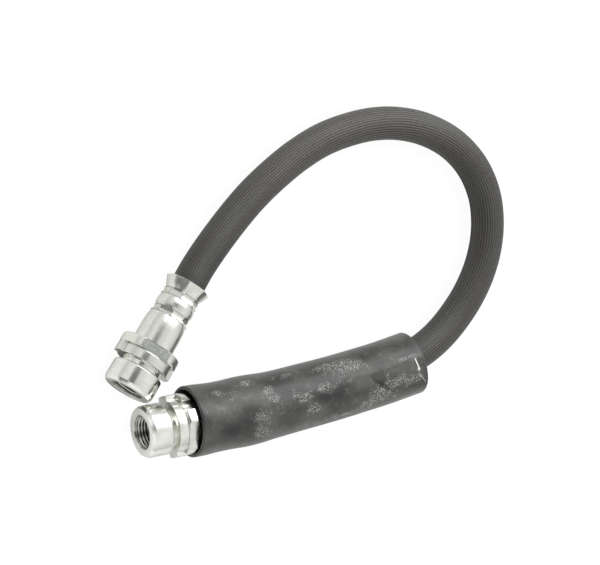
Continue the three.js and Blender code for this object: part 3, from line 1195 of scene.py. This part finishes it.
@dataclass(frozen=True)
class Sleeve:
    """The loose rubber sleeve, a little bent, dented and scuffed, with the CAD model's line and outline."""

    wall: float = 1.2
    length: float = 80.6
    heading: float = -21.1
    flange_end: float = 15.3
    gap: float = 0.3
    side_step: float = 0.35
    bend: float = 1.6
    columns: int = 160
    # Rows: along the outside up to the fine run that ends it, and back along the bore
    coarse_rows: int = 176
    fine_start: float = 74.0
    fine_step: float = 0.13
    bore_rows: int = 60
    rim: float = 0.35
    # Each row of a rounded end: how far it stands back, and its side
    end_rows: tuple[tuple[float, float], ...] = ((-0.12, 0.8), (0.0, 0.35), (0.0, -0.35), (-0.12, -0.8))
    texture_radius: float = 10.5
    outline: tuple[tuple[float, float], ...] = (
        (0.0, 11.0), (3.5, 10.95), (8.5, 10.6), (13.5, 10.55), (18.5, 10.75), (23.0, 10.6),
        (28.0, 10.2), (34.0, 10.05), (48.0, 10.0), (64.0, 10.0), (80.6, 10.0),
    )
    # Each slow wave: height, waves round the sleeve, radians for each millimetre along it, phase
    waves: tuple[tuple[float, int, float, float], ...] = (
        (0.10, 2, 0.075, 0.6), (0.04, 3, -0.16, 2.1), (0.03, 5, 0.31, 4.0),
    )
    # Each dent: station, angle, half length, half width in degrees, depth
    dents: tuple[Patch, ...] = (
        (61.0, 6.0, 1.0, 5.0, 0.22), (63.0, -5.0, 1.1, 6.0, 0.30), (65.0, -16.0, 1.1, 6.0, 0.28),
        (67.0, -27.0, 1.0, 5.0, 0.16), (64.5, 20.0, 13.0, 6.0, -0.28), (45.0, -2.0, 7.0, 12.0, 0.26),
        (34.1, -13.0, 5.0, 12.0, 0.24), (9.0, -22.0, 6.0, 16.0, 0.20), (56.5, -18.0, 5.0, 12.0, 0.20),
        (40.0, 16.0, 4.0, 10.0, -0.14), (23.0, -4.0, 3.0, 26.0, -0.16), (52.0, 44.0, 5.0, 10.0, -0.10),
        (14.0, 30.0, 5.0, 14.0, -0.12),
    )
    # What the radius gains all round, the most that it may gain with waves and dents, and the least height
    lift: float = 0.04
    most_lift: float = 0.3
    least_height: float = 0.02
    # Each dark patch, most of them painted shade in the dents: station, angle, half length, half width in
    # degrees, strength
    dark_patches: tuple[Patch, ...] = (
        (45.5, -3.0, 6.0, 10.0, 0.55), (34.1, -13.0, 4.0, 11.0, 0.5), (10.0, -20.0, 6.5, 16.0, 0.75),
        (56.0, -14.0, 4.5, 9.0, 0.35), (31.0, 24.0, 4.0, 8.0, 0.2), (58.0, 60.0, 12.0, 10.0, 0.25),
        (17.0, 10.0, 3.0, 10.0, 0.3),
    )
    # Each scuff: station, angle, half length, half width in degrees, strength
    scuffs: tuple[Patch, ...] = (
        (52.3, 47.0, 5.2, 11.0, 1.0), (56.2, 39.0, 3.0, 9.0, 0.9), (47.0, 55.0, 5.0, 7.0, 0.6),
        (64.0, -27.0, 4.0, 15.0, 0.9), (69.3, -12.0, 3.4, 10.0, 0.8), (76.0, -18.0, 2.4, 10.0, 0.9),
        (59.5, -38.0, 3.0, 10.0, 0.6), (24.6, 34.0, 2.2, 9.0, 0.8), (26.6, 20.0, 2.2, 8.0, 0.6),
        (33.5, 16.0, 2.4, 7.0, 0.7), (36.6, 4.0, 2.4, 8.0, 0.9), (39.4, -16.0, 2.2, 9.0, 1.0),
        (18.4, 58.0, 2.2, 7.0, 0.8), (8.1, 50.0, 2.0, 8.0, 0.5), (13.0, 44.0, 4.0, 9.0, 0.35),
        (20.4, -9.0, 3.0, 12.0, 0.6), (21.2, -37.0, 3.4, 12.0, 0.9), (44.8, 15.0, 4.0, 6.0, 0.5),
        (52.0, 13.0, 4.0, 5.0, 0.45), (74.0, 22.0, 4.0, 5.0, 0.6), (33.5, 58.0, 4.0, 6.0, 0.45),
        (52.1, -52.0, 7.0, 6.0, 0.6), (38.0, -48.0, 5.0, 7.0, 0.4), (8.7, 19.0, 4.0, 9.0, 0.3),
        (28.0, 2.0, 2.4, 7.0, 0.4),
    )
    scuff_gain: float = 1.35
    most_dark: float = 0.75
    # The pale nick near the far end: a cut, a spot at its end and a faint tail
    cut: Scratch = Scratch(77.2, 17.0, 0.021, (0.10, 0.26), (-6.0, -3.5), (15.0, 18.0))
    tail: Scratch = Scratch(77.0, -10.0, 0.117, (0.06, 0.2), (-34.0, -31.0), (-12.0, -9.0))
    spot: Patch = (77.5, -3.5, 0.45, 2.6, 0.8)
    tail_share: float = 0.45
    # The dark gouge is a leaf: its line, the angle of its widest part and its half length in degrees, and
    # its half width at its ends and what its middle adds
    gouge: Scratch = Scratch(60.4, 9.0, 0.185, (0.5, 1.0), (-32.0, -26.0), (4.0, 10.0))
    leaf_middle: float = -11.0
    leaf_half_length: float = 19.0
    leaf_ends: float = 0.25
    leaf_swell: float = 1.25
    gouge_share: float = 0.62

    def profile(self) -> tuple[Array, Array]:
        """Lays out the rows: along the outside, over the far end, back along the bore and over the near end.

        Returns:
            Each row's distance along the sleeve, and its side: 1 on the outside, -1 on the bore and between
            them on the ends.
        """
        far = self.length - self.rim
        front = np.linspace(self.rim, self.fine_start, self.coarse_rows)
        fine = np.arange(self.fine_start + self.fine_step, far, self.fine_step)
        back = np.linspace(far, self.rim, self.bore_rows)
        ends = np.array(self.end_rows)
        station = np.concatenate([front, fine, self.length + ends[:, 0], back, -ends[::-1, 0]])
        on_outside, on_bore = np.ones(len(front) + len(fine)), -np.ones(self.bore_rows)
        return station, np.concatenate([on_outside, ends[:, 1], on_bore, ends[::-1, 1]])

    def outer(self, station: Array) -> Array:
        """Works out the outer radius: the outline, its corners smoothed with a raised cosine window.

        Args:
            station: Distances along the sleeve.

        Returns:
            The radius at each station.
        """
        even = np.linspace(0.0, self.length, 404)
        hump = np.hanning(31) / np.hanning(31).sum()
        plain = np.interp(even, *np.array(self.outline).T)
        smooth = np.convolve(np.pad(plain, 15, mode="edge"), hump, mode="valid")
        return np.interp(station, even, smooth)

    @staticmethod
    def bumps(table: tuple[Patch, ...], station: Array, angle: Array) -> Array:
        """Adds up one Gaussian for each patch: e to the minus squared distances over the half widths.

        Args:
            table: The patches.
            station: Distances along the sleeve, one for each row.
            angle: Angles about the axis in degrees, one for each column.

        Returns:
            The sum for each row and column.
        """
        middle, turned, half_length, half_width, size = np.array(table).T[:, :, None, None]
        along = (station[None, :, None] - middle) / half_length
        across = angle_between(angle[None, None, :], turned) / half_width
        return (size * np.exp(-(along**2) - across**2)).sum(axis=0)

    def to_frame(self, station: Array, across: Array, height: Array) -> Array:
        """Bows the sleeve's line sideways, as a parabola, and turns it to its heading.

        Args:
            station: Distances along the sleeve, one for each row.
            across: Distance of each point to the left of the line.
            height: Height of each point over the ground.

        Returns:
            The points in the frame.
        """
        share = station / self.length
        bow = -4.0 * self.bend * share * (1.0 - share)
        slope = np.arctan(-4.0 * self.bend * (1.0 - 2.0 * share) / self.length)
        along = station[:, None] - across * np.sin(slope)[:, None]
        left = bow[:, None] + across * np.cos(slope)[:, None] + self.side_step
        heading = math.radians(self.heading)
        cos, sin = math.cos(heading), math.sin(heading)
        x, y, _ = FITTING_B.to_frame(np.array([self.flange_end + self.gap, 0.0, 0.0]))
        return np.stack([x + along * cos - left * sin, y + along * sin + left * cos, height], axis=-1)

    def nick(self, station: Array, angle: Array) -> Array:
        """Draws the pale nick: the cut, a Gaussian spot and the tail.

        Args:
            station: Distances along the sleeve, one for each row.
            angle: Angles from straight up in degrees, one for each column.

        Returns:
            How much of the nick each row and column has.
        """
        pale = self.cut.draw(station[:, None], angle[None, :])
        faint = self.tail.draw(station[:, None], angle[None, :])
        return np.clip(pale + self.bumps((self.spot,), station, angle) + self.tail_share * faint, 0.0, 1.0)

    def gouged(self, station: Array, angle: Array) -> Array:
        """Draws the dark gouge: a leaf, whose half width is a parabola of the angle.

        Args:
            station: Distances along the sleeve, one for each row.
            angle: Angles from straight up in degrees, one for each column.

        Returns:
            How much of the gouge each row and column has.
        """
        off = (angle[None, :] - self.leaf_middle) / self.leaf_half_length
        width = self.leaf_ends + self.leaf_swell * np.clip(1.0 - off**2, 0.0, 1.0)
        return self.gouge_share * self.gouge.draw(station[:, None], angle[None, :], width)

    def marks(self, station: Array, side: Array, angle: Array) -> dict[str, Array]:
        """Works out the marks on the outside.

        Args:
            station: Distances along the sleeve, one for each row.
            side: The side of each row.
            angle: Angles about the axis in degrees, one for each column.

        Returns:
            How scuffed each point is, how much of the nick it has, and how much of the gouge or of a dark
            patch, mostly painted shade in the dents, between 0 and 1.
        """
        outside = (side > 0)[:, None]
        from_top = angle_between(angle, 0.0)
        scuff = np.clip(self.scuff_gain * self.bumps(self.scuffs, station, angle), 0.0, 1.0)
        # Dark patches, most of them painted shade in the dents
        dark_patches = np.clip(self.bumps(self.dark_patches, station, angle), 0.0, self.most_dark)
        dark = np.maximum(self.gouged(station, from_top), dark_patches)
        nick = self.nick(station, from_top)
        return {"scuff": scuff * outside, "nick": nick * outside, "gouge": dark * outside}

    def surface(self) -> tuple[Surface, dict[str, Array]]:
        """Works out the sleeve: a tube with slow waves and dents, whose underside is held at the ground.

        Each wave is a cosine of the turn and the distance along the sleeve.

        Returns:
            The surface in the frame, and its marks.
        """
        angle = np.arange(self.columns) * 360.0 / self.columns
        turn = np.radians(angle)
        station, side = self.profile()
        outer = self.outer(station)
        ripple = sum(
            height * np.cos(count * turn[None, :] + rate * station[:, None] + phase)
            for height, count, rate, phase in self.waves
        )
        lift = ripple - self.bumps(self.dents, station, angle) + self.lift
        half = self.wall / 2
        radius = (outer - half)[:, None] + half * side[:, None] + np.minimum(lift, self.most_lift)
        up = radius * np.cos(turn)[None, :]
        up += np.maximum(self.least_height - up - outer[:, None], 0.0)
        points = self.to_frame(station, radius * np.sin(turn)[None, :], outer[:, None] + up)
        surface = Surface(points, turn * self.texture_radius, station)
        return surface, self.marks(station, side, angle)

    def build(self, material: bpy.types.Material) -> bpy.types.Object:
        """Makes the sleeve that stands for the CAD tube.

        Args:
            material: Its finish.

        Returns:
            The sleeve.
        """
        surface, marks = self.surface()
        piece = surface.build("scuffed_sleeve", 50.0, marks)
        piece.data.materials.append(material)
        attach(piece, "root")
        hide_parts("protective_sleeve")
        return piece


# Studio


@dataclass(frozen=True)
class Viewpoint:
    """The photograph's camera: where it stands, and how it is turned, in degrees."""

    place: tuple[float, float, float] = (-0.4184, 0.3287, 1.0067)
    azimuth: float = 144.567
    elevation: float = 61.336
    roll: float = 92.362
    lens: float = 221.3

    def build(self) -> bpy.types.Object:
        """Makes the camera: its back axis points away from the scene, and roll turns the picture about it.

        Returns:
            The camera.
        """
        az, el, roll = (math.radians(x) for x in (self.azimuth, self.elevation, self.roll))
        back = Vector((math.cos(el) * math.cos(az), math.cos(el) * math.sin(az), math.sin(el)))
        level = Vector((-math.sin(az), math.cos(az), 0.0))
        above = back.cross(level)
        right = math.cos(roll) * level + math.sin(roll) * above
        up = -math.sin(roll) * level + math.cos(roll) * above
        data = bpy.data.cameras.new("camera")
        data.sensor_fit = "HORIZONTAL"
        data.sensor_width = 36.0
        data.lens = self.lens
        data.clip_start, data.clip_end = 0.05, 20.0
        camera = bpy.data.objects.new("camera", data)
        turn = Matrix((right, up, back)).transposed().to_4x4()
        camera.matrix_world = Matrix.Translation(Vector(self.place)) @ turn
        bpy.context.scene.collection.objects.link(camera)
        bpy.context.scene.camera = camera
        return camera


@dataclass(frozen=True)
class SoftBox:
    """A square soft lamp that faces a point."""

    name: str
    place: tuple[float, float, float]
    size: tuple[float, float]
    watts: float
    aim: tuple[float, float, float] = (0.02, 0.0, 0.0)

    def build(self) -> None:
        """Makes the lamp."""
        data = bpy.data.lights.new(self.name, "AREA")
        data.shape = "RECTANGLE"
        data.size, data.size_y = self.size
        data.energy = self.watts
        lamp = bpy.data.objects.new(self.name, data)
        away = Vector(self.place) - Vector(self.aim)
        turn = away.to_track_quat("Z", "Y").to_matrix().to_4x4()
        lamp.matrix_world = Matrix.Translation(Vector(self.place)) @ turn
        bpy.context.scene.collection.objects.link(lamp)


@dataclass(frozen=True)
class Studio:
    """Plain white floor, one soft lamp, and a bright room that is dark behind the camera."""

    lamps: tuple[SoftBox, ...] = (SoftBox("key", (0.86, 0.46, 0.87), (1.6, 0.95), 12.0),)
    # Each dark part of the room: azimuth, elevation, radius of its darkest part, radius of its end, strength
    dark_parts: tuple[tuple[float, float, float, float, float], ...] = (
        (145.0, 6.0, 11.0, 20.0, 0.08),
        (148.0, 34.0, 12.0, 22.0, 0.08),
        (88.0, 61.0, 11.0, 18.0, 0.12),
        (125.0, 66.0, 9.0, 17.0, 0.2),
    )
    # The room's tone at the floor's level and at the zenith: sine of the height and colour
    tone_ends: tuple[tuple[float, Colour], ...] = ((0.0, (0.46, 0.47, 0.45)), (0.98, (0.70, 0.71, 0.69)))
    # The tones between: sine of the height and grey
    tones: tuple[tuple[float, float], ...] = ((0.12, 0.64), (0.40, 0.86), (0.70, 0.98), (0.88, 0.92))
    warmth: float = 0.985
    white: Colour = (1.0, 1.0, 1.0)
    glow: float = 1.05
    world_share: float = 0.12
    floor_share: float = 0.10
    floor_camera_share: float = 0.92
    floor_reach: float = 2.0
    floor_squares: int = 8
    floor_drop: float = 0.00005
    floor_pale: Colour = (0.86, 0.86, 0.84)
    # Painted contact shadow: its colour, reach and power
    contact_dark: Colour = (0.05, 0.05, 0.05)
    contact_reach: float = 0.0045
    contact_power: float = 3.0

    def world(self) -> None:
        """Builds the room: pure white where it is seen, and a grey that brightens upwards where it lights.

        Glossy rays see a share of the white, so that the metal shows the background too.
        """
        world = bpy.data.worlds.new("room")
        bpy.context.scene.world = world
        world.use_nodes = True
        nodes = Nodes(world.node_tree)
        direction = nodes.add("ShaderNodeTexCoord").outputs["Generated"]
        room = nodes.add("ShaderNodeBackground")
        nodes.feed(self.room_tone(nodes, direction), room.inputs["Color"])
        nodes.feed(self.room_level(nodes, direction), room.inputs["Strength"])
        white = nodes.add("ShaderNodeBackground")
        nodes.feed(self.white, white.inputs["Color"])
        share = self.seen_share(nodes, self.world_share, 1.0)
        mixed = nodes.layer(share, room.outputs["Background"], white.outputs["Background"])
        nodes.feed(mixed, nodes.add("ShaderNodeOutputWorld").inputs["Surface"])

    def room_tone(self, nodes: Nodes, direction: Socket) -> Socket:
        """Works out the room's grey, from the floor's level up to the zenith.

        Args:
            nodes: The nodes to add to.
            direction: The ray's direction.

        Returns:
            The colour.
        """
        split = nodes.add("ShaderNodeSeparateXYZ")
        ramp = nodes.add("ShaderNodeValToRGB")
        nodes.feed(direction, split.inputs["Vector"])
        nodes.feed(split.outputs["Z"], ramp.inputs["Fac"])
        stops = ramp.color_ramp.elements
        (stops[0].position, low), (stops[1].position, high) = self.tone_ends
        stops[0].color, stops[1].color = (*low, 1.0), (*high, 1.0)
        for height, grey in self.tones:
            stops.new(height).color = (grey, grey, self.warmth * grey, 1.0)
        return ramp.outputs["Color"]

    def room_level(self, nodes: Nodes, direction: Socket) -> Socket:
        """Works out the room's strength: one, times the strength of each dark part near its direction.

        The nearness is the dot product of both directions, the cosine of the angle between them.

        Args:
            nodes: The nodes to add to.
            direction: The ray's direction.

        Returns:
            The strength.
        """
        level: Value = 1.0
        for azimuth, elevation, full, end, strength in self.dark_parts:
            az, el = math.radians(azimuth), math.radians(elevation)
            near = nodes.add("ShaderNodeVectorMath", operation="DOT_PRODUCT")
            near.inputs[1].default_value = (
                math.cos(el) * math.cos(az), math.cos(el) * math.sin(az), math.sin(el))
            nodes.feed(direction, near.inputs[0])
            low, high = math.cos(math.radians(end)), math.cos(math.radians(full))
            shade = nodes.spread(near.outputs["Value"], low, high, 1.0, strength)
            level = nodes.maths("MULTIPLY", shade, level, clamp=False)
        return level

    @staticmethod
    def seen_share(nodes: Nodes, glossy: float, camera: float) -> Socket:
        """Adds up how much of the plain white a ray sees.

        Args:
            nodes: The nodes to add to.
            glossy: Share for glossy rays.
            camera: Share for camera rays and for transmission rays.

        Returns:
            The share.
        """
        path = nodes.add("ShaderNodeLightPath")
        shares = (("Is Camera Ray", camera), ("Is Glossy Ray", glossy), ("Is Transmission Ray", camera))
        total: Value = 0.0
        for label, share in shares:
            total = nodes.maths("MULTIPLY_ADD", path.outputs[label], share, total)
        return total

    def floor(self) -> bpy.types.Object:
        """Makes the floor: a wide flat sheet, a grid of squares just under the pieces.

        Returns:
            The floor.
        """
        u = np.linspace(-self.floor_reach, self.floor_reach, self.floor_squares + 1)
        grid = np.stack(np.meshgrid(u, u, indexing="ij"), axis=-1).reshape(-1, 2)
        step = np.arange(self.floor_squares)
        across = self.floor_squares + 1
        corner = (step[:, None] * across + step[None, :]).reshape(-1)
        faces = np.stack([corner, corner + across, corner + across + 1, corner + 1], axis=1)
        mesh = bpy.data.meshes.new("floor")
        height = np.full(len(grid), -self.floor_drop)
        mesh.from_pydata(np.column_stack([grid, height]).tolist(), [], faces.tolist())
        floor = bpy.data.objects.new("floor", mesh)
        bpy.context.scene.collection.objects.link(floor)
        mesh.materials.append(self.floor_finish())
        return floor

    def floor_finish(self) -> bpy.types.Material:
        """Builds the floor's finish: white, with a soft shadow, and a painted shadow where a piece lies on
        it.

        The painted shadow follows the open share of the space above a point, to the third power.

        Returns:
            The material.
        """
        material = bpy.data.materials.new("floor_white")
        material.use_nodes = True
        nodes = Nodes(material.node_tree)
        glow = nodes.add("ShaderNodeEmission")
        nodes.feed(self.white, glow.inputs["Color"])
        nodes.feed(self.glow, glow.inputs["Strength"])
        # Painted contact shadow from ambient occlusion
        near = nodes.add("ShaderNodeAmbientOcclusion")
        nodes.feed(self.contact_reach, near.inputs["Distance"])
        is_open = nodes.maths("POWER", near.outputs["AO"], self.contact_power, clamp=False)
        matt = nodes.add("ShaderNodeBsdfDiffuse")
        nodes.feed(nodes.blend(is_open, self.contact_dark, self.floor_pale), matt.inputs["Color"])
        share = self.seen_share(nodes, self.floor_share, self.floor_camera_share)
        mixed = nodes.layer(share, matt.outputs["BSDF"], glow.outputs["Emission"])
        nodes.feed(mixed, nodes.add("ShaderNodeOutputMaterial").inputs["Surface"])
        return material

    def build(self) -> None:
        """Builds the room, the floor and the lamps."""
        self.world()
        self.floor()
        for lamp in self.lamps:
            lamp.build()


def main() -> None:
    """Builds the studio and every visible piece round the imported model."""
    logging.basicConfig(level=logging.INFO, format="%(name)s: %(message)s")
    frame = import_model()
    bpy.context.scene.view_settings.view_transform = "Standard"
    Viewpoint().build()
    hose = Hose().build(HoseCover().dress())
    LOG.info("%s: %d faces", hose.name, len(hose.data.polygons))
    Studio().build()
    zinc = ZincPlate().dress()
    for lay in (FITTING_A, FITTING_B):
        fitting = EndFitting(lay).build(zinc)
        LOG.info("%s: %d faces", fitting.name, len(fitting.data.polygons))
    sleeve = Sleeve().build(SleeveSkin().dress())
    LOG.info("%s: %d faces", sleeve.name, len(sleeve.data.polygons))
    insert = InsertSteel().dress()
    for name in ("nipple_a", "nipple_b"):
        node = frame["nodes"][name]
        node.data.materials.clear()
        node.data.materials.append(insert)
        LOG.info("%s: finished", name)


if __name__ == "__main__":
    main()
